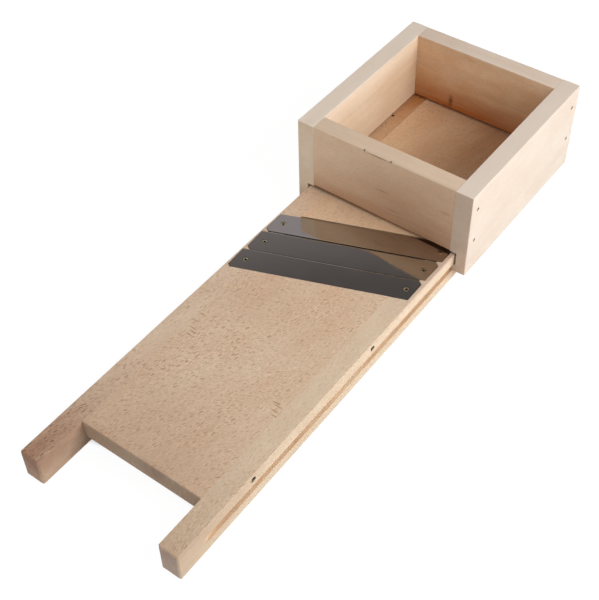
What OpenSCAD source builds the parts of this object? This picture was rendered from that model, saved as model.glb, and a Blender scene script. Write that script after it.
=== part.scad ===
// Wooden cabbage shredder. Two grooved rails carry two boards and three slanting knives, and an
// open box that rides on the rails pushes the cabbage over the knives.
// X runs across the shredder, Y from the handles to the far end and Z up.
// The origin is on the surface that it stands on, under the middle of the rails.

/* [Rails] */
// Length of each rail, from its handle end to its far end
rail_l = 650; // [600:5:720]
// Width of each rail
rail_w = 21.5; // [20:0.5:26]
// Height of each rail
rail_h = 34; // [31:0.5:42]
// Width over the outer sides of the two rails
frame_w = 182; // [160:1:220]
// Length of the handles, the rail ends that stand out past the front board
handle_l = 56; // [45:1:70]
// Height of the flange that stands above the groove of a rail
flange_h = 13.6; // [12:0.2:17]
// Height of the groove in the outer side of a rail
groove_h = 8.4; // [6:0.2:10]
// Distance from the handle end to the tip where the groove runs out
groove_stop = 34; // [24:1:45]
// Radius of the disc that cuts the groove and leaves its curved end
cutter_r = 150; // [100:5:200]
// Chamfer along the free long edges of a rail
rail_arris = 0.8; // [0.4:0.1:1.5]
// Chamfer around the end of a handle
handle_arris = 1.6; // [1:0.1:3]

/* [Boards] */
// Thickness of the front and back boards
board_t = 21; // [18:0.5:24]
// Chamfer along the top edges of the boards that stay free
board_arris = 0.6; // [0.3:0.1:1.2]

/* [Knives] */
// Width of a knife, from its back edge to its cutting edge
knife_w = 27; // [22:0.2:30]
// Thickness of a knife
knife_t = 1.4; // [1:0.1:2]
// Turn of the knives from square across the rails, in degrees
knife_angle = 21; // [15:0.5:25]
// Lean that lifts the cutting edges of the second and third knives, in degrees
knife_tilt = 5; // [3:0.25:5.5]
// Lean of the first knife, which lies flatter, in degrees
first_knife_tilt = 1.5; // [1:0.25:3]
// Height of the second and third cutting edges above the boards, which is the thickness of a shred
knife_rise = 1.2; // [0.8:0.1:1.5]
// Height of the first cutting edge above the boards
first_knife_rise = 0.7; // [0.5:0.05:1]
// Open slot in front of a cutting edge, where the shreds fall through
throat = 2.8; // [2:0.1:5]
// Distance of the middle knife from the middle of the rails, towards the box
knife_y = 38.7; // [25:0.1:50]
// Wood left between the end of a knife and the outer side of its rail, for a knife set in the middle
knife_margin = 3.7; // [3.5:0.1:6]
// Distance by which the knives are set to the left of the middle
knife_set = 1.15; // [0:0.05:1.5]
// Length cut off each of the two sharp corners of a knife
knife_clip = 4.5; // [3:0.5:7]
// Width of the bevel ground under a cutting edge
knife_bevel = 4; // [2:0.5:6]
// Thickness left at a cutting edge
knife_edge = 0.2; // [0.1:0.05:0.4]
// Width of the third knife that lies on the end of the front board
knife_support = 8; // [5:0.5:14]

/* [Box] */
// Length of the box along the rails
box_l = 220; // [200:1:240]
// Height of the rim of the box above the rails
box_h = 83; // [65:1:100]
// Thickness of the four box walls
wall_t = 20; // [17:0.5:24]
// Depth by which each side wall and its rail reach into one another
engage = 6; // [5:0.25:7]
// Chamfer along the free outer edges of the box
box_arris = 0.6; // [0.3:0.1:1.2]

/* [Fits] */
// Gap above and below the tongue of a side wall in the groove of its rail
slide_gap = 0.3; // [0.2:0.05:0.6]
// Gap between the tip of a tongue or flange and the bottom of its groove
side_play = 2.2; // [1:0.1:3]
// Gap between the top of a rail and the groove in the side wall above it
flange_gap = 2.8; // [1.7:0.1:4]
// Gap between the boards and the front and back walls, which pass over the knives
cross_gap = 3.8; // [2:0.1:5]
// Gap round a knife in its seat
seat_gap = 0.4; // [0.2:0.05:0.8]
// Gap round a screw or nail in its hole
hole_gap = 0.05; // [0.03:0.01:0.1]

/* [Knife screws] */
// Distance of a knife screw from the outer side of its rail
knife_screw_inset = 13.4; // [12.5:0.1:15.5]
// Head width of a knife screw
knife_screw_head_d = 6; // [5:0.2:7]
// Shank width of a knife screw
knife_screw_d = 3; // [2.5:0.1:3.5]
// Length of a knife screw
knife_screw_l = 16; // [12:0.5:20]
// Depth of the cross recess in a knife screw
knife_recess_h = 1.2; // [0.8:0.1:1.5]

/* [Rail screws] */
// Distance of a rail screw from the square end of its board
rail_screw_end = 44; // [30:1:55]
// Distance of a rail screw from the corner of its board beside the knives
rail_screw_slant = 70; // [55:1:75]
// Depth of the rail screws below the top of the rails
rail_screw_drop = 6; // [5:0.25:8]
// Head width of a rail screw
rail_screw_head_d = 6.6; // [6:0.2:7.4]
// Shank width of a rail screw
rail_screw_d = 3.5; // [3:0.1:4]
// Length of a rail screw
rail_screw_l = 45; // [35:1:55]
// Depth of the head of a rail screw below the side of the rail
rail_screw_sink = 0.8; // [0.4:0.1:1.4]
// Depth of the cross recess in a rail screw
rail_recess_h = 1.6; // [1:0.1:2]

/* [Nails] */
// Distance of a nail from the end of its side wall
nail_inset = 12; // [8:0.5:14]
// Distance of the upper nails from the rim of the box
nail_rim = 21.5; // [14:0.5:28]
// Distance of the lower nails from the lower edge of the front and back walls
nail_foot = 16.1; // [10:0.1:24]
// Head width of a nail
nail_head_d = 3.2; // [2.6:0.1:4]
// Head thickness of a nail
nail_head_h = 1; // [0.6:0.1:1.4]
// Shank width of a nail
nail_d = 1.8; // [1.4:0.1:2.2]
// Length of a nail
nail_l = 45; // [35:1:55]
// Depth of the head of a nail below the side of the box
nail_sink = 0.4; // [0.2:0.1:0.8]

/* [Hidden] */
$fn = 48;
// Extra length of a cutting tool past the face that it leaves by
past = 2;
// Outer and inner sides of a rail
rail_out = frame_w / 2;
rail_in = rail_out - rail_w;
// Both ends of the rails
handle_y = -rail_l / 2;
far_y = rail_l / 2;
// Square end of the front board
front_y = handle_y + handle_l;
// Bottom and top of the groove in a rail, and its depth
groove_floor = rail_h - flange_h - groove_h;
groove_top = rail_h - flange_h;
groove_d = engage + side_play;
// Middle of the disc at the end of its cut
cutter_y = handle_y + groove_stop + sqrt(2 * cutter_r * groove_d - groove_d * groove_d);
// Step from one knife to the next, and the distances where the ends and screws of a knife lie
knife_step = (knife_plan_w(1) + throat) / cos(knife_angle);
knife_end_x = rail_out - knife_margin;
knife_screw_x = rail_out - knife_screw_inset;
// Slanting ends of the two boards, as distances from the middle of their nearest knife
front_slant = knife_support - knife_plan_w(2) / 2;
back_slant = knife_plan_w(0) / 2 + throat;
// Faces of the box
wall_in = rail_out - engage;
wall_out = wall_in + wall_t;
box_y = far_y - box_l;
rim_z = rail_h + box_h;
cross_z = rail_h + cross_gap;
tongue_bottom = groove_floor + slide_gap;
tongue_top = groove_top - slide_gap;
// Heights of the nails and of the rail screws
nail_z = [cross_z + nail_foot, rim_z - nail_rim];
rail_screw_z = rail_h - rail_screw_drop;
beech = "BurlyWood";
pale_beech = "Wheat";
steel = "LightSteelBlue";
zinc = "Silver";

// Lean of knife i, its width as seen from above, and the height of its top along its middle;
// the first knife, number 0, is the nearest to the box
function tilt(i) = i == 0 ? first_knife_tilt : knife_tilt;
function knife_plan_w(i) = knife_w * cos(tilt(i));
function knife_z(i) =
    rail_h + (i == 0 ? first_knife_rise : knife_rise) - knife_w / 2 * sin(tilt(i));

// Middle of knife i along the rails
function knife_mid(i) = knife_y + (1 - i) * knife_step;

// Place along the rails of a slanting line beside knife i, at a distance v in front of its middle
function slant_y(i, v, x) = knife_mid(i) + (v + x * sin(knife_angle)) / cos(knife_angle);

// Place along knife i where it ends beside the left (-1) or right (1) rail, at a distance v in
// front of its middle
function knife_end(i, side, v, gap) =
    (side * (knife_end_x + gap) - knife_set + v * cos(tilt(i)) * sin(knife_angle)) / cos(knife_angle);

// Outline of knife i with its sharp corners clipped, grown by a gap
function knife_outline(i, gap) =
    let (
        v = knife_w / 2 + gap,
        c = knife_clip * cos(knife_angle)
    )
    [
        [knife_end(i, -1, -v, gap) + knife_clip, -v],
        [knife_end(i, 1, -v, gap), -v],
        [knife_end(i, 1, v - c, gap), v - c],
        [knife_end(i, 1, v, gap) - knife_clip, v],
        [knife_end(i, -1, v, gap), v],
        [knife_end(i, -1, c - v, gap), c - v]
    ];

// Outline of the slot that joins the seat of knife i to the cutting edge of the knife behind it
function slot_outline(i) =
    let (
        v = knife_w / 2,
        left = knife_end(i, -1, -v, seat_gap) + knife_clip,
        right = knife_end(i, 1, -v - throat, seat_gap) - knife_clip
    )
    [[left, -v - throat], [right, -v - throat], [right, -v], [left, -v]];

// Half section of a countersunk screw from its head at 0 down to its point
function screw_section(head_d, d, l, gap) =
    let (head_h = (head_d - d) / 2)
    [
        [0, 0],
        [head_d / 2 + gap, 0],
        [d / 2 + gap, -head_h],
        [d / 2 + gap, d - l],
        [0, -l - 2 * gap]
    ];

// Extrudes a section drawn in Y and Z along X
module along_x(l) {
    rotate([90, 0, 90]) linear_extrude(l, center = true) children();
}

// Extrudes a section drawn in X and Z along Y, from y0 to y1
module along_y(y0, y1) {
    translate([0, y1, 0]) rotate([90, 0, 0]) linear_extrude(y1 - y0) children();
}

// Puts the children on the left (-1) or right (1) half
module on_side(side) {
    if (side > 0) {
        children();
    } else {
        mirror([1, 0, 0]) children();
    }
}

// Puts the children on top of knife i, with X along it and Y towards its cutting edge
module on_knife(i) {
    translate([0, knife_mid(i), knife_z(i)])
        rotate([0, 0, knife_angle])
            rotate([tilt(i), 0, 0])
                children();
}

// A countersunk screw that points down from its head
module screw(head_d, d, l, recess_h) {
    slot_w = head_d / 6;
    slot_l = head_d * 0.6;
    difference() {
        rotate_extrude() polygon(screw_section(head_d, d, l, 0));
        translate([-slot_l / 2, -slot_w / 2, -recess_h]) cube([slot_l, slot_w, recess_h + past]);
        translate([-slot_w / 2, -slot_l / 2, -recess_h]) cube([slot_w, slot_l, recess_h + past]);
    }
}

// The hole for such a screw, which opens upwards past its head
module screw_hole(head_d, d, l) {
    rotate_extrude() polygon(screw_section(head_d, d, l, hole_gap));
    cylinder(h = past, d = head_d + 2 * hole_gap);
}

// Seats of the knives in the rails and in the front board, with sloping bottoms; a slot runs from
// each seat to the next, so that the rails leave no step between two knives
module knife_seat(i) {
    on_knife(i)
        translate([0, 0, -knife_t])
            linear_extrude(knife_t + 3 * past) {
                polygon(knife_outline(i, seat_gap));
                if (i < 2) polygon(slot_outline(i));
            }
}

// Puts the children at both screws of knife i
module at_knife_screws(i) {
    on_knife(i)
        for (side = [-1, 1])
            translate([side * knife_screw_x / cos(knife_angle), 0, 0]) children();
}

module knife_screw_holes(i) {
    at_knife_screws(i) screw_hole(knife_screw_head_d, knife_screw_d, knife_screw_l);
}

// Places along one rail of the screws into the front and back boards
function front_screw_y(side) =
    [front_y + rail_screw_end, slant_y(2, front_slant, side * rail_in) - rail_screw_slant];
function back_screw_y(side) =
    [slant_y(0, back_slant, side * rail_in) + rail_screw_slant, far_y - rail_screw_end];

// Puts the children at the given screws of a rail, pointing in from its outer side
module at_rail_screws(side, places) {
    on_side(side)
        for (y = places)
            translate([rail_out - rail_screw_sink, y, rail_screw_z]) rotate([0, 90, 0]) children();
}

module rail_screws(side, places) {
    at_rail_screws(side, places) screw(rail_screw_head_d, rail_screw_d, rail_screw_l, rail_recess_h);
}

module rail_screw_holes(side) {
    at_rail_screws(side, concat(front_screw_y(side), back_screw_y(side)))
        screw_hole(rail_screw_head_d, rail_screw_d, rail_screw_l);
}

// Outer shape of the right rail, with chamfered edges and handle end
module rail_blank() {
    a = rail_arris;
    h = handle_arris;
    intersection() {
        along_y(handle_y, far_y)
            polygon([
                [rail_in, a], [rail_in + a, 0], [rail_out - a, 0], [rail_out, a],
                [rail_out, rail_h - a], [rail_out - a, rail_h], [rail_in, rail_h]
            ]);
        linear_extrude(rail_h)
            polygon([
                [rail_in + h, handle_y], [rail_out - h, handle_y], [rail_out, handle_y + h],
                [rail_out, far_y], [rail_in, far_y], [rail_in, handle_y + h]
            ]);
        along_x(2 * frame_w)
            polygon([
                [handle_y + h, 0], [far_y, 0], [far_y, rail_h],
                [handle_y + h, rail_h], [handle_y, rail_h - h], [handle_y, h]
            ]);
    }
}

// Groove of the right rail: a straight cut, open at the far end, that a disc leaves with a curved end
module rail_groove() {
    translate([rail_out - groove_d, cutter_y, groove_floor])
        cube([groove_d + past, far_y - cutter_y + past, groove_h]);
    translate([rail_out - groove_d + cutter_r, cutter_y, groove_floor])
        cylinder(h = groove_h, r = cutter_r, $fn = 180);
}

module rail(side) {
    difference() {
        on_side(side) rail_blank();
        on_side(side) rail_groove();
        for (i = [0 : 2]) {
            knife_seat(i);
            knife_screw_holes(i);
        }
        rail_screw_holes(side);
    }
}

module left_rail() {
    color(beech) rail(-1);
}

module right_rail() {
    color(beech) rail(1);
}

// Front board: square at the handles, slanting under the third knife
module front_board() {
    color(pale_beech)
        difference() {
            translate([0, 0, rail_h - board_t])
                linear_extrude(board_t)
                    polygon([
                        [-rail_in, front_y],
                        [rail_in, front_y],
                        [rail_in, slant_y(2, front_slant, rail_in)],
                        [-rail_in, slant_y(2, front_slant, -rail_in)]
                    ]);
            translate([0, front_y, rail_h])
                along_x(frame_w)
                    polygon([[-past, -past - board_arris], [-past, past], [past + board_arris, past]]);
            knife_seat(2);
            for (side = [-1, 1]) rail_screw_holes(side);
        }
}

// Back board: slanting in front of the first knife, square at the far end
module back_board() {
    color(pale_beech)
        difference() {
            translate([0, 0, rail_h - board_t])
                linear_extrude(board_t)
                    polygon([
                        [-rail_in, slant_y(0, back_slant, -rail_in)],
                        [rail_in, slant_y(0, back_slant, rail_in)],
                        [rail_in, far_y],
                        [-rail_in, far_y]
                    ]);
            for (side = [-1, 1]) rail_screw_holes(side);
        }
}

// A flat steel strip with a bevel under its cutting edge and a countersunk hole at each end
module knife(i) {
    difference() {
        on_knife(i)
            difference() {
                translate([0, 0, -knife_t]) linear_extrude(knife_t) polygon(knife_outline(i, 0));
                along_x(2 * frame_w)
                    polygon([
                        [knife_w / 2 - knife_bevel, -knife_t],
                        [knife_w / 2 - knife_bevel, -knife_t - past],
                        [knife_w / 2 + past, -knife_t - past],
                        [knife_w / 2 + past, -knife_edge],
                        [knife_w / 2, -knife_edge]
                    ]);
            }
        knife_screw_holes(i);
    }
}

module knife_screws(i) {
    at_knife_screws(i) screw(knife_screw_head_d, knife_screw_d, knife_screw_l, knife_recess_h);
}

module first_knife() {
    color(steel) knife(0);
}

module second_knife() {
    color(steel) knife(1);
}

module third_knife() {
    color(steel) knife(2);
}

module first_knife_screws() {
    color(zinc) knife_screws(0);
}

module second_knife_screws() {
    color(zinc) knife_screws(1);
}

module third_knife_screws() {
    color(zinc) knife_screws(2);
}

module front_board_left_screws() {
    color(zinc) rail_screws(-1, front_screw_y(-1));
}

module front_board_right_screws() {
    color(zinc) rail_screws(1, front_screw_y(1));
}

module back_board_left_screws() {
    color(zinc) rail_screws(-1, back_screw_y(-1));
}

module back_board_right_screws() {
    color(zinc) rail_screws(1, back_screw_y(1));
}

// Places of the nails along the box, at its front and back walls
front_nail_y = box_y + nail_inset;
back_nail_y = far_y - nail_inset;

// Puts the children at the two nails of a corner, pointing in from the outer side of the wall
module at_nails(side, y) {
    on_side(side)
        for (z = nail_z)
            translate([wall_out - nail_sink, y, z]) rotate([0, 90, 0]) children();
}

// A nail that points down from its flat head
module nail() {
    translate([0, 0, -nail_head_h]) cylinder(h = nail_head_h, d = nail_head_d);
    translate([0, 0, nail_d - nail_l]) cylinder(h = nail_l - nail_d - nail_head_h, d = nail_d);
    translate([0, 0, -nail_l]) cylinder(h = nail_d, d1 = 0, d2 = nail_d);
}

module nail_hole() {
    translate([0, 0, -nail_head_h - hole_gap])
        cylinder(h = nail_head_h + hole_gap + past, d = nail_head_d + 2 * hole_gap);
    translate([0, 0, -nail_l - hole_gap])
        cylinder(h = nail_l, d = nail_d + 2 * hole_gap);
}

module nail_holes(side) {
    for (y = [front_nail_y, back_nail_y]) at_nails(side, y) nail_hole();
}

// Side wall of the box: a plank with a groove for the flange of the rail, and the tongue under it
module side_wall(side) {
    a = box_arris;
    difference() {
        on_side(side)
            intersection() {
                along_y(box_y, far_y)
                    polygon([
                        [wall_in, tongue_bottom],
                        [wall_out - a, tongue_bottom],
                        [wall_out, tongue_bottom + a],
                        [wall_out, rim_z - a],
                        [wall_out - a, rim_z],
                        [wall_in, rim_z],
                        [wall_in, rail_h + flange_gap],
                        [wall_in + groove_d, rail_h + flange_gap],
                        [wall_in + groove_d, tongue_top],
                        [wall_in, tongue_top]
                    ]);
                linear_extrude(rim_z)
                    polygon([
                        [wall_in, box_y], [wall_out - a, box_y], [wall_out, box_y + a],
                        [wall_out, far_y - a], [wall_out - a, far_y], [wall_in, far_y]
                    ]);
            }
        nail_holes(side);
    }
}

module box_left_wall() {
    color(beech) side_wall(-1);
}

module box_right_wall() {
    color(beech) side_wall(1);
}

// Front or back wall of the box, with its outer face at y0 and its inner face at y1
module cross_wall(y0, y1) {
    a = sign(y1 - y0) * box_arris;
    difference() {
        along_x(2 * wall_in)
            polygon([
                [y0, cross_z], [y1, cross_z], [y1, rim_z], [y0 + a, rim_z], [y0, rim_z - box_arris]
            ]);
        for (side = [-1, 1]) nail_holes(side);
    }
}

module box_front_wall() {
    color(pale_beech) cross_wall(box_y, box_y + wall_t);
}

module box_back_wall() {
    color(pale_beech) cross_wall(far_y, far_y - wall_t);
}

module front_left_nails() {
    color(zinc) at_nails(-1, front_nail_y) nail();
}

module front_right_nails() {
    color(zinc) at_nails(1, front_nail_y) nail();
}

module back_left_nails() {
    color(zinc) at_nails(-1, back_nail_y) nail();
}

module back_right_nails() {
    color(zinc) at_nails(1, back_nail_y) nail();
}

left_rail();
right_rail();
front_board();
back_board();
first_knife();
second_knife();
third_knife();
first_knife_screws();
second_knife_screws();
third_knife_screws();
front_board_left_screws();
front_board_right_screws();
back_board_left_screws();
back_board_right_screws();
box_left_wall();
box_right_wall();
box_front_wall();
box_back_wall();
front_left_nails();
front_right_nails();
back_left_nails();
back_right_nails();
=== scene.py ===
"""Looks of the wooden cabbage shredder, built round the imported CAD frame.

The wood pieces and the knives are copies of the CAD nodes with their edges eased, and the knife
screws are new pieces with domed heads. The rail screws and the nails are the CAD's own. Fields are
millimetres unless their comment or the class says otherwise.
"""

import logging
import math
from collections.abc import Callable
from dataclasses import dataclass
from enum import Enum
from typing import ClassVar

import bmesh
import bpy
from mathutils import Matrix, Vector


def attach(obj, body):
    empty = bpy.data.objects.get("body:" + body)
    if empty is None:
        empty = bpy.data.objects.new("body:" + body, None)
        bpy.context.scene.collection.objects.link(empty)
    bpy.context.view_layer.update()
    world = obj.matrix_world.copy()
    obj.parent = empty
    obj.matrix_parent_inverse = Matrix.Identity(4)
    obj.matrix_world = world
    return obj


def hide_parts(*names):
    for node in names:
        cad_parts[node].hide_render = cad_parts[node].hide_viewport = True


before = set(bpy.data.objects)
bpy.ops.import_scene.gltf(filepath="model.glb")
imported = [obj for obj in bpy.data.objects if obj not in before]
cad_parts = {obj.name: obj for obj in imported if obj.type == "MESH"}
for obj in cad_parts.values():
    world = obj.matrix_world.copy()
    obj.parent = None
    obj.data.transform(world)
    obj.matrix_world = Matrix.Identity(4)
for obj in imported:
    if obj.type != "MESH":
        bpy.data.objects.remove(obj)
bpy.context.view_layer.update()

Triple = tuple[float, float, float]
Colour = tuple[float, float, float, float]
Tree = bpy.types.NodeTree
Socket = bpy.types.NodeSocket

LOG = logging.getLogger("shredder")
MM = 0.001
WHITE: Colour = (1.0, 1.0, 1.0, 1.0)
# Range that nearly all values of a noise lie in
NOISE_SPAN = (0.3, 0.7)
# Millimetres within which corners are welded, a cut snaps to a corner, and places count as one
WELD = 0.002
SNAP = 0.001
FINE = 0.01
CLOSE = 0.05
# Degrees below which neighbouring faces are one, and above which an edge is rounded
FLAT_ANGLE = 0.5
EDGE_ANGLE = 25.0


def linear(hex_colour: str) -> Colour:
    """Turns an sRGB hex colour into the linear colour that a shader takes.

    Args:
        hex_colour: Six hex digits after a #.

    Returns:
        Red, green, blue and an alpha of 1.
    """
    parts = [int(hex_colour[i:i + 2], 16) / 255 for i in (1, 3, 5)]
    red, green, blue = [
        p / 12.92 if p <= 0.04045 else ((p + 0.055) / 1.055) ** 2.4 for p in parts
    ]
    return (red, green, blue, 1.0)


def grey(level: float) -> Colour:
    """Gives a linear grey."""
    return (level, level, level, 1.0)


def cool(level: float, blue: float) -> Colour:
    """Gives a linear grey with the faint tint of painted studio walls."""
    return (level, 0.96 * level, blue * level, 1.0)


def per_size(across: float, along: float, through: float) -> Triple:
    """Works out the mapping scale that gives a pattern cell a real size.

    Args:
        across: Size on the first axis, in millimetres.
        along: Size on the second axis, in millimetres.
        through: Size on the third axis, in millimetres.

    Returns:
        Cells in a metre on each axis.
    """
    return (1 / (across * MM), 1 / (along * MM), 1 / (through * MM))


def add_node(tree: Tree, kind: str, sockets: dict | None = None, ramp: tuple | None = None,
             **settings: object) -> bpy.types.Node:
    """Adds a node with its settings, its ramp stops, and the values or links of its inputs.

    Args:
        tree: Node tree that takes the node.
        kind: Blender's name of the node.
        sockets: A value, or an output to link, for each named or numbered input.
        ramp: Position and colour of each stop, for a colour ramp.
        **settings: Properties of the node.

    Returns:
        The new node.
    """
    node = tree.nodes.new(kind)
    for name, value in settings.items():
        setattr(node, name, value)
    for key, value in (sockets or {}).items():
        if isinstance(value, Socket):
            tree.links.new(value, node.inputs[key])
        else:
            node.inputs[key].default_value = value
    if ramp:
        stops = node.color_ramp.elements
        while len(stops) < len(ramp):
            stops.new(1.0)
        for stop, (position, colour) in zip(stops, ramp):
            stop.position = position
            stop.color = colour
    return node


def mix(tree: Tree, share: object, below: object, above: object, blend: str = "MIX") -> Socket:
    """Lays one colour over another.

    Args:
        tree: Node tree that takes the mix.
        share: Share of the upper colour, as a value or an output.
        below: Lower colour, as a value or an output.
        above: Upper colour, as a value or an output.
        blend: Blender's name of the way to mix.

    Returns:
        The mixed colour.
    """
    node = add_node(tree, "ShaderNodeMix", {0: share, 6: below, 7: above},
                    data_type="RGBA", blend_type=blend)
    return node.outputs[2]


def calc(tree: Tree, operation: str, *values: object, clamp: bool = False) -> Socket:
    """Does one sum.

    Args:
        tree: Node tree that takes the sum.
        operation: Blender's name of the sum.
        *values: What goes into it, each as a value or an output.
        clamp: Whether the result is held between 0 and 1.

    Returns:
        The result.
    """
    node = add_node(tree, "ShaderNodeMath", dict(enumerate(values)),
                    operation=operation, use_clamp=clamp)
    return node.outputs[0]


def remap(tree: Tree, value: Socket, source: tuple[float, float],
          target: tuple[float, float] = (0.0, 1.0)) -> Socket:
    """Maps one range onto another and holds what lies outside it.

    Args:
        tree: Node tree that takes the step.
        value: What is mapped.
        source: Range that it comes from.
        target: Range that it goes to.

    Returns:
        The mapped value.
    """
    node = add_node(tree, "ShaderNodeMapRange", {
        "Value": value, "From Min": source[0], "From Max": source[1],
        "To Min": target[0], "To Max": target[1],
    })
    return node.outputs[0]


def noise(tree: Tree, place: Socket, size: Triple, detail: float = 2.0,
          roughness: float = 0.5) -> Socket:
    """Makes a noise whose cells have a real size.

    Args:
        tree: Node tree that takes the noise.
        place: Coordinates, in metres.
        size: Size of a cell on each axis, in millimetres.
        detail: Number of finer layers.
        roughness: Weight of the finer layers.

    Returns:
        The value of the noise, about 0.5.
    """
    cells = add_node(tree, "ShaderNodeMapping", {"Vector": place, "Scale": per_size(*size)})
    node = add_node(tree, "ShaderNodeTexNoise", {
        "Vector": cells.outputs[0], "Scale": 1.0, "Detail": detail, "Roughness": roughness,
    })
    return node.outputs[0]


def facing(tree: Tree, place: bpy.types.Node, axis: Triple) -> Socket:
    """Tells, from 0 to 1, how squarely a face looks along an axis, either way."""
    dot = add_node(tree, "ShaderNodeVectorMath", {0: place.outputs["Normal"], 1: axis},
                   operation="DOT_PRODUCT")
    return calc(tree, "ABSOLUTE", dot.outputs["Value"])


def new_material(name: str) -> tuple[bpy.types.Material, Tree]:
    """Makes an empty material whose nodes are then added.

    Args:
        name: Name of the real material.

    Returns:
        The material and its node tree.
    """
    material = bpy.data.materials.new(name)
    material.use_nodes = True
    material.node_tree.nodes.clear()
    return material, material.node_tree


def end_surface(tree: Tree, sockets: dict) -> None:
    """Ends a material with its shader and its output."""
    shader = add_node(tree, "ShaderNodeBsdfPrincipled", sockets)
    add_node(tree, "ShaderNodeOutputMaterial", {"Surface": shader.outputs[0]})


class Cut(Enum):
    """How a piece was sawn: the turn, in degrees, to axes across, along and through the rings."""

    DASHES_ON_TOP = (0.0, 0.0, 0.0)
    DASHES_ON_SIDES = (0.0, -90.0, 0.0)
    DASHES_ON_FRONT = (90.0, 0.0, 90.0)

    @property
    def end_normal(self) -> Triple:
        """The direction that the grain runs in, which the end grain faces."""
        return (1.0, 0.0, 0.0) if self is Cut.DASHES_ON_FRONT else (0.0, 1.0, 0.0)

    @property
    def dash_normal(self) -> Triple:
        """The direction that the faces with dashes look in."""
        if self is Cut.DASHES_ON_TOP:
            return (0.0, 0.0, 1.0)
        return (0.0, 1.0, 0.0) if self is Cut.DASHES_ON_FRONT else (1.0, 0.0, 0.0)


@dataclass(frozen=True)
class StainOrShade:
    """A soft-edged place where the wood has another tone: a real stain in some places, painted
    light or shade in others.
    """

    middle: Triple
    reach: Triple
    colour: str
    strength: float
    # Share by which the grain breaks the strength up and down
    broken: float = 0.15


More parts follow.
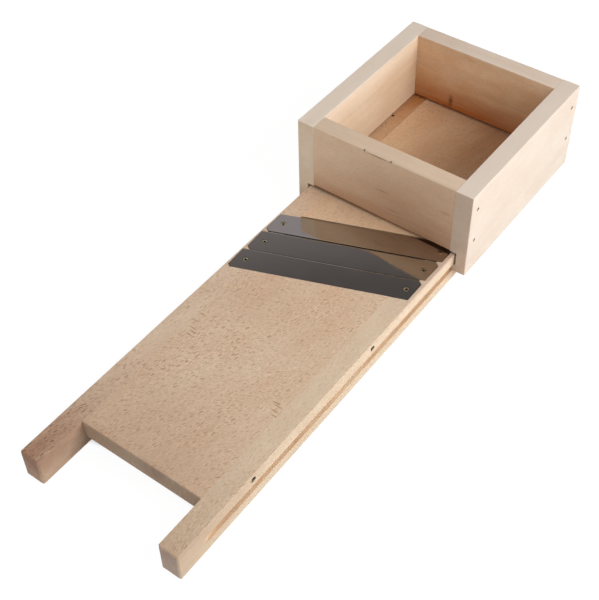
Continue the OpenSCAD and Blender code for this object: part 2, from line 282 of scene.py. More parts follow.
@dataclass(frozen=True)
class Beech:
    """Planed raw beech: dry and matt, pale, with short brown ray flecks along the grain."""

    # Sizes across, along and through the rings of a cell of each pattern
    PATCH: ClassVar[Triple] = (34, 80, 34)
    BAND: ClassVar[Triple] = (7, 150, 9)
    FIBRE: ClassVar[Triple] = (1.1, 24, 5)
    SANDING: ClassVar[Triple] = (1.2, 2.2, 1.5)
    MARK_EDGE: ClassVar[Triple] = (4, 60, 6)
    END_RAY: ClassVar[Triple] = (1.6, 30, 12)
    # Cell and strength of each layer of flecks, and the strength of its faintest fleck
    FLECK_LAYERS: ClassVar[tuple[tuple[Triple, float], ...]] = (
        ((2.1, 10.0, 6), 1.0), ((1.6, 7.0, 5), 0.85), ((1.2, 4.6, 3), 0.6),
    )
    FAINTEST: ClassVar[float] = 0.25
    # Outer and inner radius, in cells, of the dark lens of a fleck and of the pale edge round it,
    # a painted highlight
    LENSES: ClassVar[tuple[tuple[float, float], ...]] = ((0.33, 0.18), (0.62, 0.42))
    FLECK_SHEEN: ClassVar[float] = 0.27
    # Length and width of the bends in the grain, and the share of flecks in thin and thick crowds
    BEND: ClassVar[tuple[float, float]] = (70, 22)
    CROWDS: ClassVar[tuple[float, float]] = (0.7, 1.2)
    # Stretch along Y over which the flecks change from one of fleck_ends to the other
    FADE: ClassVar[tuple[float, float]] = (-325, -150)
    # Share of the flecks that shows on the other faces
    OFF_FACE: ClassVar[float] = 0.15
    # Roughness in the dark and the pale bands, level of the shine, and depth of the pores
    DULLNESS: ClassVar[tuple[float, float]] = (0.74, 0.6)
    SHINE: ClassVar[float] = 0.3
    RELIEF: ClassVar[float] = 0.25

    name: str
    cut: Cut
    pale: str
    warm: str
    fleck: str = "#85603F"
    # Share of full colour that the darkest flecks reach, and its factors at the handles and beyond
    flecks: float = 0.6
    fleck_ends: tuple[float, float] = (1.0, 1.0)
    # Light and dark swing of the fine fibre lines and of the broader bands
    fibres: float = 0.04
    bands: float = 0.04
    # Light and dark swing of the sanded surface
    grit: float = 0.03
    # Degrees that the grain slopes from the long side of the piece
    slope: float = 0.0
    # Metres from the middle of the plank's pattern, so that no two planks are alike
    offset: Triple = (0.0, 0.0, 0.0)
    # Tone of the end grain, and the light and dark swing of its rays
    end_tone: str = "#D8CFC8"
    end_rays: float = 0.03
    # Real stains, and places of painted light or shade
    stains_and_shades: tuple[StainOrShade, ...] = ()

    def build(self) -> bpy.types.Material:
        """Makes the material.

        Returns:
            The finished beech.
        """
        material, tree = new_material(self.name)
        place = add_node(tree, "ShaderNodeTexCoord")
        turn = [math.radians(angle) for angle in self.cut.value]
        turn[2] += math.radians(self.slope)
        grain = add_node(tree, "ShaderNodeMapping", {
            "Vector": place.outputs["Object"], "Location": self.offset, "Rotation": turn,
        }).outputs["Vector"]
        bands = self._lines(tree, grain, self.BAND, self.bands)
        fibres = self._lines(tree, grain, self.FIBRE, self.fibres)
        grit = self._lines(tree, grain, self.SANDING, self.grit)
        flecks, edges = self._flecks(tree, place, grain)
        colour = self._tones(tree, grain)
        for swing in (bands, fibres, grit):
            colour = mix(tree, 1.0, colour, swing, "MULTIPLY")
        for mark in self.stains_and_shades:
            colour = self._marked(tree, place, grain, mark, colour)
        # The pale edges round the flecks are a painted highlight
        colour = mix(tree, 1.0, colour, edges, "MULTIPLY")
        colour = mix(tree, flecks, colour, linear(self.fleck))
        colour = self._end_grain(tree, place, grain, colour)
        bump = add_node(tree, "ShaderNodeBump", {
            "Height": calc(tree, "MULTIPLY_ADD", flecks, -0.5, fibres),
            "Strength": 0.5, "Distance": self.RELIEF * MM,
        })
        end_surface(tree, {
            "Base Color": colour, "Roughness": remap(tree, bands, (0.9, 1.1), self.DULLNESS),
            "Normal": bump.outputs[0], "Specular IOR Level": self.SHINE,
        })
        return material

    def _tones(self, tree: Tree, grain: Socket) -> Socket:
        """Mixes the pale and warm tones in broad patches."""
        patch = noise(tree, grain, self.PATCH, detail=4.0, roughness=0.65)
        return mix(tree, remap(tree, patch, NOISE_SPAN), linear(self.pale), linear(self.warm))

    def _lines(self, tree: Tree, grain: Socket, size: Triple, swing: float) -> Socket:
        """Draws lines along the grain as a brightness about 1."""
        lines = noise(tree, grain, size, roughness=0.6)
        return remap(tree, lines, NOISE_SPAN, (1 - swing, 1 + swing))

    def _flecks(self, tree: Tree, place: bpy.types.Node, grain: Socket) -> tuple[Socket, Socket]:
        """Scatters ray flecks of three sizes, dark lens shapes with pale edges of painted
        highlight.

        Args:
            tree: Node tree of the material.
            place: Texture coordinates of the piece.
            grain: Coordinates across, along and through the rings.

        Returns:
            The share of the dark flecks, and the brightness, from 1, of the painted highlight on
            their edges.
        """
        length, width = self.BEND
        drift = add_node(tree, "ShaderNodeTexNoise", {
            "Vector": grain, "Scale": 1 / (length * MM), "Detail": 1.0,
        })
        bent = add_node(tree, "ShaderNodeVectorMath", {
            0: drift.outputs["Color"], 1: (width * MM, 0.0, 0.0), 2: grain,
        }, operation="MULTIPLY_ADD")
        layers = []
        for size, strength in self.FLECK_LAYERS:
            cells = add_node(tree, "ShaderNodeMapping", {
                "Vector": bent.outputs[0], "Scale": per_size(*size),
            })
            rays = add_node(tree, "ShaderNodeTexVoronoi", {
                "Vector": cells.outputs[0], "Scale": 1.0,
            })
            each = add_node(tree, "ShaderNodeSeparateColor", {"Color": rays.outputs["Color"]})
            shade = remap(tree, each.outputs[0], (0.0, 1.0), (self.FAINTEST * strength, strength))
            layers.append([
                calc(tree, "MULTIPLY", shade, remap(tree, rays.outputs["Distance"], lens))
                for lens in self.LENSES
            ])
        visible = self._fleck_share(tree, place, drift)
        shares = []
        for strongest, *others in zip(*layers):
            for other in others:
                strongest = calc(tree, "MAXIMUM", strongest, other)
            shares.append(calc(tree, "MULTIPLY", strongest, visible))
        dark = calc(tree, "MULTIPLY", shares[0], self.flecks, clamp=True)
        # Brightness of the painted highlight on the edges of the flecks
        pale = calc(tree, "MULTIPLY_ADD", shares[1], self.FLECK_SHEEN * self.flecks, 1.0)
        return dark, pale

    def _fleck_share(self, tree: Tree, place: bpy.types.Node, drift: bpy.types.Node) -> Socket:
        """Tells how far the flecks show: in loose crowds, on one pair of faces, fading along."""
        crowd = remap(tree, drift.outputs["Fac"], NOISE_SPAN, self.CROWDS)
        square = facing(tree, place, self.cut.dash_normal)
        face = remap(tree, square, (0.5, 0.9), (self.OFF_FACE, 1.0))
        axes = add_node(tree, "ShaderNodeSeparateXYZ", {0: place.outputs["Object"]})
        near, far = self.FADE
        fade = remap(tree, axes.outputs["Y"], (near * MM, far * MM), self.fleck_ends)
        return calc(tree, "MULTIPLY", calc(tree, "MULTIPLY", crowd, face), fade)

    def _marked(self, tree: Tree, place: bpy.types.Node, grain: Socket, mark: StainOrShade,
                 colour: Socket) -> Socket:
        """Lays a mark over the colour, with an edge that the grain breaks up; some marks are real
        stains, others painted light or shade.
        """
        shift = tuple(-m / r for m, r in zip(mark.middle, mark.reach))
        ball = add_node(tree, "ShaderNodeMapping", {
            "Vector": place.outputs["Object"], "Location": shift, "Scale": per_size(*mark.reach),
        })
        soft = add_node(tree, "ShaderNodeTexGradient", {"Vector": ball.outputs[0]},
                        gradient_type="SPHERICAL")
        weak, strong = [(1 + sign * mark.broken) * mark.strength for sign in (-1, 1)]
        share = remap(tree, noise(tree, grain, self.MARK_EDGE), NOISE_SPAN, (weak, strong))
        cover = calc(tree, "MULTIPLY", soft.outputs[1], share, clamp=True)
        return mix(tree, cover, colour, linear(mark.colour))

    def _end_grain(self, tree: Tree, place: bpy.types.Node, grain: Socket,
                   colour: Socket) -> Socket:
        """Greys the ends, where cut pores drink in the light, and draws their rays."""
        share = remap(tree, facing(tree, place, self.cut.end_normal), (0.6, 0.9))
        rays = remap(tree, noise(tree, grain, self.END_RAY), NOISE_SPAN,
                     (1 - self.end_rays, 1 + self.end_rays))
        greyed = mix(tree, 1.0, colour, linear(self.end_tone), "MULTIPLY")
        greyed = mix(tree, 1.0, greyed, rays, "MULTIPLY")
        return mix(tree, share, colour, greyed)


@dataclass(frozen=True)
class StripSteel:
    """Strip steel with fine lines along it: a dark mirror on its faces, dull where sheared."""

    # Sizes along, across and through the strip of a fine line and of a smear
    LINE: ClassVar[Triple] = (60, 0.5, 60)
    SMEAR: ClassVar[Triple] = (25, 25, 25)
    # Brightness of the darkest and the palest lines, and their depth
    LINE_TONES: ClassVar[tuple[float, float]] = (0.94, 1.0)
    LINE_DEPTH: ClassVar[float] = 0.01

    name: str
    base: str
    # Roughness of its clean and of its smeared places
    clean: float
    smeared: float
    # Degrees from the X axis to the length of the strip
    turn: float

    def build(self) -> bpy.types.Material:
        """Makes the material.

        Returns:
            The finished steel.
        """
        material, tree = new_material(self.name)
        place = add_node(tree, "ShaderNodeTexCoord").outputs["Object"]
        along = add_node(tree, "ShaderNodeMapping", {
            "Vector": place, "Rotation": (0.0, 0.0, math.radians(-self.turn)),
        }).outputs[0]
        lines = noise(tree, along, self.LINE, detail=3.0)
        smear = noise(tree, place, self.SMEAR, detail=3.0)
        tone = remap(tree, lines, NOISE_SPAN, self.LINE_TONES)
        bump = add_node(tree, "ShaderNodeBump", {
            "Height": lines, "Strength": 0.05, "Distance": self.LINE_DEPTH * MM,
        })
        end_surface(tree, {
            "Base Color": mix(tree, 1.0, linear(self.base), tone, "MULTIPLY"), "Metallic": 1.0,
            "Roughness": remap(tree, smear, NOISE_SPAN, (self.clean, self.smeared)),
            "Normal": bump.outputs[0],
        })
        return material


@dataclass(frozen=True)
class FastenerSteel:
    """Small steel fasteners: a half-dull metal with specks of grime; the cross recess of the knife
    screws uses it as a dark sheet of painted shade.
    """

    SPECK: ClassVar[Triple] = (1.5, 1.5, 1.5)
    # Values of the noise where the darker specks begin and where they are full, and the roughness
    # that they add
    GRIMY: ClassVar[tuple[float, float]] = (0.45, 0.75)
    DULLING: ClassVar[float] = 0.15

    name: str
    base: str
    grime_and_shade: str
    roughness: float

    def build(self) -> bpy.types.Material:
        """Makes the material.

        Returns:
            The finished metal.
        """
        material, tree = new_material(self.name)
        place = add_node(tree, "ShaderNodeTexCoord").outputs["Object"]
        specks = noise(tree, place, self.SPECK, detail=3.0)
        share = remap(tree, specks, self.GRIMY)
        end_surface(tree, {
            "Base Color": mix(tree, share, linear(self.base), linear(self.grime_and_shade)),
            "Metallic": 1.0,
            "Roughness": remap(tree, specks, NOISE_SPAN,
                               (self.roughness, self.roughness + self.DULLING)),
        })
        return material


def add_piece(mesh: bmesh.types.BMesh, name: str, body: str, slot: str,
              *nodes: str) -> bpy.types.Object:
    """Turns a finished mesh into a piece that stands for CAD nodes.

    Args:
        mesh: The mesh, which is freed.
        name: Name of the piece.
        body: CAD body that the piece moves with.
        slot: Name of a material slot; not used.
        *nodes: CAD nodes that the piece replaces.

    Returns:
        The piece.
    """
    bmesh.ops.recalc_face_normals(mesh, faces=mesh.faces)
    data = bpy.data.meshes.new(name)
    mesh.to_mesh(data)
    mesh.free()
    piece = bpy.data.objects.new(name, data)
    bpy.context.scene.collection.objects.link(piece)
    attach(piece, body)
    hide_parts(*nodes)
    return piece


def eased_mesh(node: str, ease: float, shortest: float,
               sharp: Callable[[Vector], bool] = lambda place: False) -> bmesh.types.BMesh:
    """Copies a CAD node as one closed mesh and rounds its free edges.

    Args:
        node: CAD node to copy.
        ease: Width of the rounding, in millimetres.
        shortest: Length of the shortest edge that is rounded, in millimetres.
        sharp: Tells the places, in metres, where an edge stays sharp.

    Returns:
        The copy.
    """
    mesh = bmesh.new()
    mesh.from_mesh(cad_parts[node].data)
    bmesh.ops.remove_doubles(mesh, verts=mesh.verts, dist=WELD * MM)
    bmesh.ops.dissolve_limit(mesh, angle_limit=math.radians(FLAT_ANGLE), verts=mesh.verts,
                             edges=mesh.edges)
    rounded = [
        edge for edge in mesh.edges
        if edge.is_manifold and edge.calc_length() > shortest * MM
        and edge.calc_face_angle_signed() > math.radians(EDGE_ANGLE)
        and not all(sharp(v.co) for v in edge.verts)
    ]
    bmesh.ops.bevel(mesh, geom=rounded, offset=ease * MM, offset_type="OFFSET", affect="EDGES",
                    segments=2, profile=0.5, material=-1, clamp_overlap=True)
    return mesh


def cut_across(mesh: bmesh.types.BMesh, place: Vector, normal: Vector) -> None:
    """Cuts a mesh along a plane, given in metres, and keeps both sides."""
    bmesh.ops.bisect_plane(mesh, geom=[*mesh.verts, *mesh.edges, *mesh.faces], dist=SNAP * MM,
                           plane_co=place, plane_no=normal)


def dress(piece: bpy.types.Object, *materials: bpy.types.Material) -> None:
    """Gives a piece its materials, in the order of its material numbers."""
    slots = piece.data.materials
    for number, material in enumerate(materials):
        if number < len(slots):
            slots[number] = material
        else:
            slots.append(material)


@dataclass
class TimberFrame:
    """The two rails and the two boards that they hold."""

    ease: float = 0.35
    shortest: float = 6.0
    rail_inner: float = 69.5
    rail_outer: float = 91.0
    rail_half: float = 325.0
    groove_depth: float = 8.2
    groove_heights: tuple[float, float] = (12.0, 20.4)
    # Allowances in telling the faces of the groove: in depth and height, and from the rail's ends
    slack: float = 0.1
    end_slack: float = 5.0
    # Middles of the short marks that a saw left across the front board
    saw_marks: tuple[tuple[float, float], ...] = (
        (-64.5, -106.3), (-65.1, -116.5), (-60.2, -125.4), (-58.2, -129.2), (-58.4, -133.9),
        (63.3, -158.8), (60.0, -150.7), (63.0, -153.0), (67.5, -163.8),
    )

    def finishes(self) -> dict[str, Beech]:
        """Gives each piece the look of its own plank."""
        return {
            "left_rail": Beech(
                "Raw beech, left rail", Cut.DASHES_ON_TOP, "#D3BCA4", "#C6A88F",
                fleck="#5E3C28", flecks=0.6, fleck_ends=(1.8, 0.75), fibres=0.02, bands=0.02,
                grit=0.05, slope=14, offset=(0.31, 0.12, 0.045), end_tone="#E6E2E2",
                stains_and_shades=(
                    StainOrShade((-80, -335, 30), (60, 158, 50), "#80533A", 0.77),
                    # Orange-brown strip along the rail inside the box: painted shade and warm
                    # bounce light of the box's inside
                    StainOrShade((-78, 325, 34), (40, 150, 40), "#B57332", 1.0),
                    StainOrShade((-76, 215, 34), (40, 75, 6), "#CFA57E", 0.7),
                    StainOrShade((-84.3, 258.8, 34), (1.9, 1.9, 1.9), "#1C100A", 3.0),
                    StainOrShade((-80, 92, 34), (30, 60, 6), "#D8B898", 0.55),
                ),
            ),
            "right_rail": Beech(
                "Raw beech, right rail", Cut.DASHES_ON_TOP, "#D3BFA6", "#C8B197",
                flecks=0.5, fleck_ends=(1.3, 0.7), fibres=0.02, bands=0.02, grit=0.05,
                offset=(0.52, 0.4, 0.02), end_tone="#DEDDEA",
                stains_and_shades=(
                    StainOrShade((80, -335, 34), (60, 140, 40), "#A58871", 0.7),
                    StainOrShade((85, 95, 34.5), (60, 110, 3), "#B9A08F", 1.15),
                    StainOrShade((91, 70, 27), (3, 190, 9), "#EFD9C4", 0.36),
                ),
            ),
            "front_board": Beech(
                "Raw beech, front board", Cut.DASHES_ON_TOP, "#CCB59B", "#C5A68C",
                flecks=0.78, fibres=0.015, bands=0.01, grit=0.08, slope=24,
                offset=(0.1, 0.05, 0.06), end_tone="#DEE0E2", end_rays=0.1,
                stains_and_shades=(
                    StainOrShade((0, -275, 34), (170, 120, 60), "#AD8F77", 0.62),
                    StainOrShade((-55, -269, 24), (55, 9, 26), "#96694F", 0.2),
                    StainOrShade((16, -269, 28), (22, 6, 16), "#7A5844", 0.3),
                    *(StainOrShade((x, y, 34), (6, 1.1, 3), "#8C6C50", 0.85) for x, y in self.saw_marks),
                ),
            ),
            "back_board": Beech(
                "Raw beech, back board", Cut.DASHES_ON_TOP, "#DABB9A", "#D0A884",
                flecks=0.44, fibres=0.01, bands=0.01, slope=12, offset=(0.8, 0.3, 0.03),
                stains_and_shades=(
                    # Orange-brown over the floor inside the box, towards the right wall: painted
                    # shade and warm bounce light
                    StainOrShade((60, 290, 34), (140, 165, 40), "#A0622F", 0.55),
                    # Paler patch on the floor inside the box by the left wall: painted light
                    StainOrShade((-58, 200, 34), (40, 90, 6), "#E4C39C", 0.6),
                    StainOrShade((-45, 82, 34), (70, 50, 5), "#CFB297", 0.5),
                ),
            ),
        }

    def _in_groove(self, face: bmesh.types.BMFace) -> bool:
        """Tells whether a face of a rail lies in its groove."""
        middle = face.calc_center_median() / MM
        low, high = self.groove_heights
        floor = self.rail_outer - self.groove_depth
        return (floor - self.slack < abs(middle.x) < self.rail_outer - CLOSE
                and low - self.slack < middle.z < high + self.slack
                and abs(middle.y) < self.rail_half - self.end_slack)

    def build(self) -> None:
        """Makes the four pieces."""
        # The groove's warmer tone is painted shade and warm bounce light under the flange
        groove = Beech("Beech in the groove, with painted shade", Cut.DASHES_ON_TOP, "#DCC6AA", "#C9A684",
                       flecks=0.3, fibres=0.08, offset=(0.9, 0.1, 0.01)).build()
        for node, finish in self.finishes().items():
            mesh = eased_mesh(node, self.ease, self.shortest,
                              lambda place: abs(abs(place.x) - self.rail_inner * MM) < CLOSE * MM)
            mesh.normal_update()
            for face in mesh.faces:
                face.material_index = int(self._in_groove(face))
            slot = "rail_beech" if node.endswith("rail") else "board_beech"
            piece = add_piece(mesh, f"eased_{node}", "frame", slot, node)
            dress(piece, finish.build(), groove)
            LOG.info("%s: %d faces", piece.name, len(piece.data.polygons))


@dataclass
class SlidingBox:
    """The four walls of the open box that rides on the rails."""

    ease: float = 0.3
    shortest: float = 6.0
    front: float = 105.0
    rim: float = 117.0
    # Middle, half width and depth of each chip in the upper front edge
    chips: tuple[Triple, ...] = ((-21.8, 0.8, 1.1), (9.9, 0.8, 1.0))
    # Depth of the strip along the front that the chips lie in, and of the edge that they take
    strip: float = 2.5
    chip_reach: float = 1.2
    # Drop of a chip for its depth
    chip_fall: float = 0.7
    crack_drop: float = 1.4
    crack_half: float = 0.35
    # Allowance at the ends of the crack and above it
    slack: float = 0.1

    def finishes(self) -> dict[str, Beech]:
        """Gives each wall the look of its own plank."""
        def rim(colour: str, strength: float) -> StainOrShade:
            """Gives the tone of the sawn upper edge of a plank."""
            return StainOrShade((0, 215, 118), (900, 900, 3), colour, strength)

        def rust(y: float, z: float) -> StainOrShade:
            """Gives the dark ring round a nail in the right wall."""
            return StainOrShade((105, y, z), (3, 3, 3), "#5C4A3A", 1.0)

        def streak(x: float, z: float, reach: float) -> StainOrShade:
            """Gives a short dark line in the grain of the front wall."""
            return StainOrShade((x, 105, z), (reach, 4, 1.4), "#7A5136", 0.5)

        return {
            "box_left_wall": Beech(
                "Raw beech, left wall", Cut.DASHES_ON_SIDES, "#DDC6AC", "#D4B899",
                flecks=0.15, fibres=0.02, bands=0.03, offset=(0.2, 0.7, 0.03), end_tone="#FFFFFF",
                stains_and_shades=(
                    StainOrShade((-85, 258.8, 35.6), (2.4, 2.4, 2.4), "#1C100A", 4.0),
                    StainOrShade((-95, 105, 77), (40, 3, 80), "#EAD8C2", 0.7),
                    # Paler upper part of the inner face: painted light where the key falls in over
                    # the right wall
                    StainOrShade((-84.5, 185, 114), (3, 220, 25), "#F8E6D2", 0.7),
                    # Darker brown towards the back of the inner face: painted shade of the box's
                    # back corner
                    StainOrShade((-84.5, 305, 78), (5, 90, 32), "#A87C55", 0.36),
                    rim("#E2D8CE", 0.9),
                ),
            ),
            "box_right_wall": Beech(
                "Raw beech, right wall", Cut.DASHES_ON_SIDES, "#D6C9BC", "#CFBDAD",
                flecks=0.1, fibres=0.015, bands=0.015, offset=(0.4, 0.2, 0.08), end_tone="#E8DFD6",
                stains_and_shades=(
                    *(rust(y, z) for y in (117, 313) for z in (53.9, 95.5)), rim("#D8C8B9", 0.8),
                ),
            ),
            "box_front_wall": Beech(
                "Raw beech, front wall", Cut.DASHES_ON_FRONT, "#E4CBB0", "#DBBB9B",
                flecks=0.22, fibres=0.012, bands=0.012, offset=(0.6, 0.9, 0.02),
                stains_and_shades=(
                    StainOrShade((55, 105, 36), (175, 60, 78), "#945829", 0.74, 0.05),
                    StainOrShade((100, 104.5, 105), (170, 5, 60), "#966D4A", 0.48, 0.05),
                    StainOrShade((-70, 105, 36), (130, 60, 24), "#90562B", 0.5, 0.05),
                    # Dark line along the foot of the front face: painted shade of the gap under
                    # the wall
                    StainOrShade((-70, 104.2, 37.3), (140, 3, 2.2), "#3A2113", 2.1, 0.05),
                    streak(0, 74, 12), streak(15, 54.5, 14), streak(76, 83, 9),
                    # Dark line of the crack and dark chips: painted shade in the split and in the
                    # notches
                    StainOrShade((-4, 105, 115.6), (15, 3, 0.9), "#4A2E1C", 1.0),
                    StainOrShade((-21.8, 105.5, 116.2), (1.4, 3, 1.5), "#3A2416", 1.4),
                    StainOrShade((9.9, 105.5, 116.2), (1.3, 3, 1.4), "#3A2416", 1.4),
                    rim("#BAA797", 0.7),
                ),
            ),
            "box_back_wall": Beech(
                "Raw beech, back wall", Cut.DASHES_ON_FRONT, "#D6B898", "#C99D75",
                flecks=0.3, fibres=0.02, bands=0.05, offset=(0.15, 0.33, 0.05),
                stains_and_shades=(
                    # Strong orange-brown along the bottom of the inner face: painted shade and
                    # warm bounce light inside the box
                    StainOrShade((-10, 305, 36), (190, 30, 34), "#A85804", 1.0),
                    StainOrShade((-36.5, 305, 47), (4, 12, 11), "#55300F", 0.9),
                    StainOrShade((40, 305, 63), (125, 5, 22), "#985E30", 0.22),
                    StainOrShade((75, 305, 110), (85, 5, 20), "#E8CDB0", 0.3),
                    rim("#D8D1CA", 0.8),
                ),
            ),
        }

    def build(self) -> None:
        """Makes the four walls."""
        for node, finish in self.finishes().items():
            mesh = eased_mesh(node, self.ease, self.shortest)
            if node == "box_front_wall":
                self._chip(mesh)
            piece = add_piece(mesh, f"eased_{node}", "sliding_box", "box_beech", node)
            dress(piece, finish.build())
            LOG.info("%s: %d faces", piece.name, len(piece.data.polygons))

    def _chip(self, mesh: bmesh.types.BMesh) -> None:
        """Breaks two chips out of the upper front edge, with a crack between them.

        Args:
            mesh: Copy of the front wall.
        """
        crack = self.rim - self.crack_drop
        for z in (crack - self.crack_half, crack, crack + self.crack_half):
            cut_across(mesh, Vector((0, 0, z)) * MM, Vector((0, 0, 1)))
        cut_across(mesh, Vector((0, self.front + self.strip, 0)) * MM, Vector((0, 1, 0)))
        for middle, half, _ in self.chips:
            for x in (middle - half, middle, middle + half):
                cut_across(mesh, Vector((x, 0, 0)) * MM, Vector((1, 0, 0)))
        (left, left_half, _), (right, right_half, _) = self.chips
        begin, end = left + left_half - self.slack, right - right_half + self.slack
        for vert in mesh.verts:
            x, y, z = vert.co / MM
            if abs(y - self.front) < CLOSE and abs(z - crack) < FINE and begin < x < end:
                vert.co.y += 2 * self.crack_half * MM
            for middle, _, depth in self.chips:
                if (abs(x - middle) < FINE and y < self.front + self.chip_reach
                        and z > crack + self.slack):
                    vert.co += Vector((0, depth, -self.chip_fall * depth)) * MM


@dataclass
class Knives:
    """The three slanting knives and the two screws of each."""

    # Degrees that the knives turn from square across the rails, and that each leans
    turn: float = 21.0
    leans: Triple = (1.5, 5.0, 5.0)
    # Y and Z of the middle of the top of each knife
    middles: tuple[tuple[float, float], ...] = ((70.51, 34.347), (38.7, 34.023), (6.89, 34.023))
    width: float = 27.0
    # Width and drop of the bevel honed on top of a cutting edge, and the skin that it is honed in
    hone_width: float = 0.6
    hone_drop: float = 0.07
    hone_skin: float = 0.1
    # Cosine of the lean at which a face counts as sheared
    sheared: float = 0.985
    ease: float = 0.1
    shortest: float = 2.0
    screw_x: float = 77.6
    # Side of each screw, the turn of its cross and the change from knife to knife, in degrees
    twists: tuple[tuple[int, float, float], ...] = ((-1, 25, 40), (1, 70, -35))
    head_radius: float = 2.65
    head_sides: int = 24
    # Depths of the rim and of the top of a head below the face of the knife
    head_sink: float = 0.38
    top_sink: float = 0.2
    head_depth: float = 1.2
    # Half width, reach and depth of the cross recess, and the share that its floor narrows to
    slot_half: float = 0.55
    slot_reach: float = 1.65
    recess_depth: float = 1.1
    recess_taper: float = 0.6
    shank_radius: float = 1.45
    # Share of the shank's radius that is left at the point
    point: float = 0.05
    length: float = 16.0

    def build(self) -> None:
        """Makes the knives and their screws."""
        face = StripSteel("Ground strip steel", "#B9B2AA", 0.05, 0.1, self.turn).build()
        # The dark base of the sheared sides is partly the dull sheared steel, partly painted shade
        # in the gaps between the knives
        edge = StripSteel("Sheared strip steel edge, partly painted shade", "#4E4A46", 0.35, 0.5, self.turn).build()
        zinc = FastenerSteel("Oiled zinc screw", "#F0E6C4", "#8A8062", 0.22).build()
        # The cross recess is a dark sheet of painted shade
        recess_shade = FastenerSteel("Cross recess, painted shade", "#26211B", "#120F0C", 0.5).build()
        for number, which in enumerate(("first", "second", "third")):
            knife = add_piece(self._knife(number, f"{which}_knife"), f"honed_{which}_knife",
                              "frame", "knife_steel", f"{which}_knife")
            dress(knife, face, edge)
            screws = add_piece(self._screws(number), f"domed_{which}_knife_screws", "frame",
                               "screw_steel", f"{which}_knife_screws")
            dress(screws, zinc, recess_shade)
            LOG.info("%s and its screws", knife.name)

    def _place(self, number: int) -> Matrix:
        """Gives a knife's place, from the middle of its top: X along it, Y to its cutting edge."""
        y, z = self.middles[number]
        return (Matrix.Translation((0, y * MM, z * MM))
                @ Matrix.Rotation(math.radians(self.turn), 4, "Z")
                @ Matrix.Rotation(math.radians(self.leans[number]), 4, "X"))

    def _knife(self, number: int, node: str) -> bmesh.types.BMesh:
        """Copies a knife, eases it and hones the top of its cutting edge.

        Args:
            number: Number of the knife, from 0.
            node: CAD node of the knife.

        Returns:
            The knife, with its sheared sides as material 1.
        """
        place = self._place(number)
        to_knife = place.inverted()
        half = self.width / 2 * MM
        mesh = eased_mesh(node, self.ease, self.shortest,
                          lambda co: (to_knife @ co).y > half - CLOSE * MM)
        cut_across(mesh, place @ Vector((0, half - self.hone_width * MM, 0)),
                   place.to_3x3() @ Vector((0, 1, 0)))
        up = place.to_3x3() @ Vector((0, 0, 1))
        for vert in mesh.verts:
            local = to_knife @ vert.co
            if local.y > half - CLOSE * MM and local.z > -self.hone_skin * MM:
                vert.co -= up * self.hone_drop * MM
        mesh.normal_update()
        for side in mesh.faces:
            side.material_index = 0 if abs(side.normal.dot(up)) > self.sheared else 1
        return mesh

    def _screws(self, number: int) -> bmesh.types.BMesh:
        """Models both screws of a knife.

        Args:
            number: Number of the knife, from 0.

        Returns:
            A mesh with the two screws.
        """
        mesh = bmesh.new()
        along = self.screw_x / math.cos(math.radians(self.turn))
        for side, twist, change in self.twists:
            place = (self._place(number) @ Matrix.Translation((side * along * MM, 0, 0))
                     @ Matrix.Rotation(math.radians(twist + change * number), 4, "Z"))
            self._screw(mesh, place)
        return mesh

    def _screw(self, mesh: bmesh.types.BMesh, place: Matrix) -> None:
        """Adds one screw: a domed head with a cross recess, its cone, its shank and its point.

        Args:
            mesh: Mesh that takes the screw.
            place: Place of the middle of its head.
        """
        w, r, top = self.slot_half, self.slot_reach, -self.top_sink
        quarter = ((r, -w), (r, w), (w, w))
        outline = []
        for c, s in ((1, 0), (0, 1), (-1, 0), (0, -1)):
            outline += [mesh.verts.new((Vector((c * x - s * y, s * x + c * y, top)) * MM))
                        for x, y in quarter]
        cross = [mesh.edges.new((v, outline[i - 1])) for i, v in enumerate(outline)]
        rim_verts = bmesh.ops.create_circle(
            mesh, segments=self.head_sides, radius=self.head_radius * MM,
            matrix=Matrix.Translation((0, 0, -self.head_sink * MM)))["verts"]
        rim = list({e for v in rim_verts for e in v.link_edges})
        bmesh.ops.bridge_loops(mesh, edges=cross + rim)
        walls, floor_verts, floor = self._drawn(mesh, cross, self.recess_taper, self.recess_depth)
        bottom = bmesh.ops.contextual_create(mesh, geom=floor)["faces"]
        # The walls and floor of the recess take the dark material of painted shade
        for part in walls + bottom:
            part.material_index = 1
        added = {*outline, *rim_verts, *floor_verts}
        tip = 2 * self.shank_radius
        loop = rim
        for narrow, drop in ((self.shank_radius / self.head_radius, self.head_depth),
                             (1.0, self.length - self.head_depth - tip), (self.point, tip)):
            _, verts, loop = self._drawn(mesh, loop, narrow, drop)
            added.update(verts)
        bmesh.ops.contextual_create(mesh, geom=loop)
        bmesh.ops.transform(mesh, matrix=place, verts=list(added))

    def _drawn(self, mesh: bmesh.types.BMesh, edges: list, narrow: float,
               drop: float) -> tuple[list, list, list]:
        """Draws a ring of edges down and narrows it.

        Args:
            mesh: Mesh of the screw.
            edges: The ring to draw from.
            narrow: Share that its width comes to.
            drop: How far it goes down, in millimetres.

        Returns:
            The faces, the corners and the edges of the new ring.
        """
        made = bmesh.ops.extrude_edge_only(mesh, edges=edges)["geom"]
        verts = [g for g in made if isinstance(g, bmesh.types.BMVert)]
        ring = [g for g in made if isinstance(g, bmesh.types.BMEdge)
                and all(v in verts for v in g.verts)]
        bmesh.ops.scale(mesh, vec=(narrow, narrow, 1), verts=verts)
        bmesh.ops.translate(mesh, vec=(0, 0, -drop * MM), verts=verts)
        return [g for g in made if isinstance(g, bmesh.types.BMFace)], verts, ring


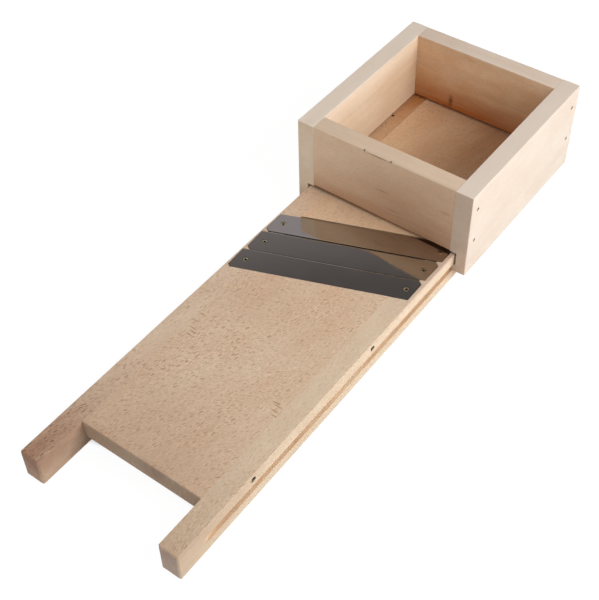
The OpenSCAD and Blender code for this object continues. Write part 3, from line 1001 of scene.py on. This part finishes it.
@dataclass
class Fasteners:
    """The screws in the rails and the nails in the box."""

    def build(self) -> None:
        """Dresses the rail screws and the nails."""
        zinc = FastenerSteel("Zinc plated rail screw", "#9A8C74", "#4A4034", 0.4).build()
        bare = FastenerSteel("Bare wire nail", "#6A6258", "#3A322A", 0.45).build()
        for end in ("front", "back"):
            for side in ("left", "right"):
                dress(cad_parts[f"{end}_board_{side}_screws"], zinc)
                dress(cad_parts[f"{end}_{side}_nails"], bare)
                LOG.info("%s %s screws and nails", end, side)


@dataclass(frozen=True)
class Lamp:
    """A soft studio lamp, flagged off the steel: place, aim and size in metres, power in watts."""

    name: str
    place: Triple
    size: float
    power: float
    aim: Triple = (0.0, 0.0, 0.05)

    def build(self) -> bpy.types.Object:
        """Hangs the lamp.

        Returns:
            The lamp, turned towards its aim.
        """
        data = bpy.data.lights.new(self.name, "AREA")
        data.size = self.size
        data.energy = self.power
        lamp = bpy.data.objects.new(self.name, data)
        lamp.location = self.place
        lamp.visible_glossy = False
        direction = Vector(self.aim) - Vector(self.place)
        lamp.rotation_euler = direction.to_track_quat("-Z", "Y").to_euler()
        bpy.context.scene.collection.objects.link(lamp)
        return lamp


@dataclass
class Studio:
    """The white floor, the soft lamps, the room and the camera of the photo; lengths in metres."""

    floor_half: float = 12.0
    floor_grey: float = 0.8
    # Strength and share of the glow that lifts the floor to white for the camera
    lift: float = 1.06
    lift_share: float = 0.9
    # How far the floor looks for cover, and the open share where the glow begins and is full
    sky_reach: float = 0.2
    sky_span: tuple[float, float] = (0.08, 0.2)
    lens: float = 68.523
    sensor: float = 36.0
    camera_place: Triple = (0.464557, -0.640641, 0.853549)
    camera_right: Triple = (0.803367, 0.595272, -0.015887)
    camera_up: Triple = (-0.427436, 0.595023, 0.680621)
    camera_back: Triple = (0.414608, -0.539998, 0.732463)
    room_light: float = 0.27
    # Height, from the horizon to overhead, and tone of the walls that the steel mirrors
    walls: tuple[tuple[float, Colour], ...] = (
        (0.0, grey(0.5)), (0.55, grey(0.64)), (0.74, cool(0.455, 1.07)),
        (0.8, cool(0.275, 1.02)), (0.825, cool(0.14, 0.98)), (0.86, cool(0.105, 0.98)),
        (0.94, cool(0.08, 1.0)), (1.0, cool(0.3, 1.02)),
    )
    lamps: tuple[Lamp, ...] = (
        Lamp("Key from the right", (1.05, 0.2, 0.72), 0.9, 17.0),
        Lamp("Fill from the handles", (0.1, -1.4, 0.6), 0.9, 6.05),
        Lamp("Fill from the left", (-1.1, 0.1, 0.8), 0.9, 4.5),
    )

    def build(self) -> None:
        """Sets the stage and the camera."""
        self._floor()
        self._room()
        for lamp in self.lamps:
            lamp.build()
        self._camera()
        bpy.context.scene.view_settings.view_transform = "Standard"
        LOG.info("studio: floor, room, lamps and camera")

    def _floor(self) -> None:
        """Lays the floor: a white matt sheet, lifted for the camera except under the boards."""
        mesh = bmesh.new()
        bmesh.ops.create_grid(mesh, x_segments=1, y_segments=1, size=self.floor_half)
        data = bpy.data.meshes.new("floor")
        mesh.to_mesh(data)
        mesh.free()
        floor = bpy.data.objects.new("floor", data)
        bpy.context.scene.collection.objects.link(floor)
        material, tree = new_material("White studio sheet")
        path = add_node(tree, "ShaderNodeLightPath")
        sky = add_node(tree, "ShaderNodeAmbientOcclusion", {"Distance": self.sky_reach})
        open_floor = remap(tree, sky.outputs["AO"], self.sky_span, (0.0, self.lift_share))
        matt = add_node(tree, "ShaderNodeBsdfDiffuse", {"Color": grey(self.floor_grey)})
        glow = add_node(tree, "ShaderNodeEmission", {"Color": WHITE, "Strength": self.lift})
        sheet = add_node(tree, "ShaderNodeMixShader", {
            0: calc(tree, "MULTIPLY", path.outputs["Is Camera Ray"], open_floor),
            1: matt.outputs[0], 2: glow.outputs[0],
        })
        add_node(tree, "ShaderNodeOutputMaterial", {"Surface": sheet.outputs[0]})
        dress(floor, material)

    def _room(self) -> None:
        """Makes the room: white to the camera, dim to the wood, dark overhead to the steel."""
        world = bpy.data.worlds.new("Studio room")
        bpy.context.scene.world = world
        world.use_nodes = True
        tree = world.node_tree
        tree.nodes.clear()
        place = add_node(tree, "ShaderNodeTexCoord")
        height = add_node(tree, "ShaderNodeSeparateXYZ", {0: place.outputs["Generated"]})
        walls = add_node(tree, "ShaderNodeValToRGB", {"Fac": height.outputs["Z"]},
                         ramp=self.walls)
        path = add_node(tree, "ShaderNodeLightPath")
        mirrored = add_node(tree, "ShaderNodeBackground", {"Color": walls.outputs[0]})
        dim = add_node(tree, "ShaderNodeBackground", {"Color": grey(self.room_light)})
        white = add_node(tree, "ShaderNodeBackground", {"Color": WHITE})
        lit = add_node(tree, "ShaderNodeMixShader", {
            0: path.outputs["Is Glossy Ray"], 1: dim.outputs[0], 2: mirrored.outputs[0],
        })
        shown = add_node(tree, "ShaderNodeMixShader", {
            0: path.outputs["Is Camera Ray"], 1: lit.outputs[0], 2: white.outputs[0],
        })
        add_node(tree, "ShaderNodeOutputWorld", {"Surface": shown.outputs[0]})

    def _camera(self) -> None:
        """Puts the camera where the photo was taken from."""
        data = bpy.data.cameras.new("Photo camera")
        data.lens = self.lens
        data.sensor_width = self.sensor
        camera = bpy.data.objects.new("Photo camera", data)
        axes = Matrix((self.camera_right, self.camera_up, self.camera_back)).transposed()
        camera.matrix_world = Matrix.Translation(self.camera_place) @ axes.to_4x4()
        bpy.context.scene.collection.objects.link(camera)
        bpy.context.scene.camera = camera


def main() -> None:
    """Builds the sub-assemblies in order, then the studio round them."""
    logging.basicConfig(level=logging.INFO, format="%(name)s: %(message)s")
    for part in (TimberFrame(), Knives(), SlidingBox(), Fasteners(), Studio()):
        part.build()


if __name__ == "__main__":
    main()
